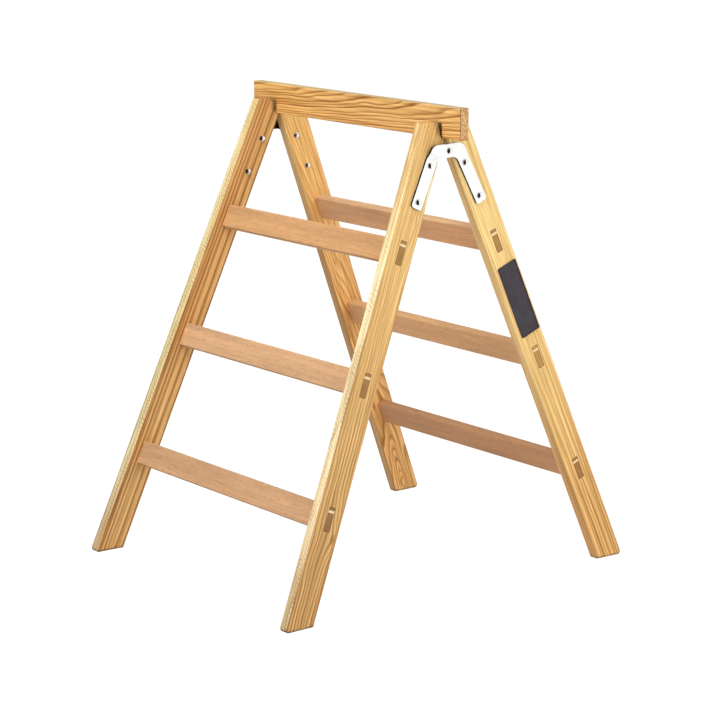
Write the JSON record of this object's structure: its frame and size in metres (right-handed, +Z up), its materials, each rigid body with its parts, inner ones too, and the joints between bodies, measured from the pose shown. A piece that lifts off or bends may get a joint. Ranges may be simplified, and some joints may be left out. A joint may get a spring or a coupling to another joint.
{
  "type": "folding work trestle",
  "caption": "Folding wooden work trestle: splayed ladder frames with wedged rungs, hinged at the head by bent steel leaves, under a beam on edge.",
  "frame": {"origin": "on the floor, under the middle of the beam", "axes": "+Z up, +X along the beam and the rungs, +Y from the front ladder to the rear ladder"},
  "size_m": [0.741, 0.9202, 1.0231],
  "materials": {
    "pine_stile": "planed and clear oiled",
    "pine_beam": "planed and clear oiled",
    "beech_rung": "planed",
    "pale_wedge": "sawn end grain",
    "zinc_plate": "bright zinc plated"
  },
  "bodies": {
    "rear_frame": {"head_beam": "pine_beam", "left_beam_screws": "zinc_plate", "left_pivot_rivet": "zinc_plate", "rear_bottom_rung": "beech_rung", "rear_left_bottom_wedge": "pale_wedge", "rear_left_hinge_bolts": "zinc_plate", "rear_left_hinge_leaf": "zinc_plate", "rear_left_hinge_nuts": "zinc_plate", "rear_left_middle_wedge": "pale_wedge", "rear_left_stile": "pine_stile", "rear_left_top_wedge": "pale_wedge", "rear_middle_rung": "beech_rung", "rear_right_bottom_wedge": "pale_wedge", "rear_right_hinge_bolts": "zinc_plate", "rear_right_hinge_leaf": "zinc_plate", "rear_right_hinge_nuts": "zinc_plate", "rear_right_middle_wedge": "pale_wedge", "rear_right_stile": "pine_stile", "rear_right_top_wedge": "pale_wedge", "rear_top_rung": "beech_rung", "right_beam_screws": "zinc_plate", "right_pivot_rivet": "zinc_plate"},
    "front_frame": {"front_bottom_rung": "beech_rung", "front_left_bottom_wedge": "pale_wedge", "front_left_hinge_bolts": "zinc_plate", "front_left_hinge_leaf": "zinc_plate", "front_left_hinge_nuts": "zinc_plate", "front_left_middle_wedge": "pale_wedge", "front_left_stile": "pine_stile", "front_left_top_wedge": "pale_wedge", "front_middle_rung": "beech_rung", "front_right_bottom_wedge": "pale_wedge", "front_right_hinge_bolts": "zinc_plate", "front_right_hinge_leaf": "zinc_plate", "front_right_hinge_nuts": "zinc_plate", "front_right_middle_wedge": "pale_wedge", "front_right_stile": "pine_stile", "front_right_top_wedge": "pale_wedge", "front_top_rung": "beech_rung"}
  },
  "joints": [
    {"name": "front_frame_fold", "type": "hinge", "parent": "rear_frame", "child": "front_frame", "pos_m": [0, 0, 0.93158], "axis": [1, 0, 0], "range_deg": [0, 44.4]}
  ]
}
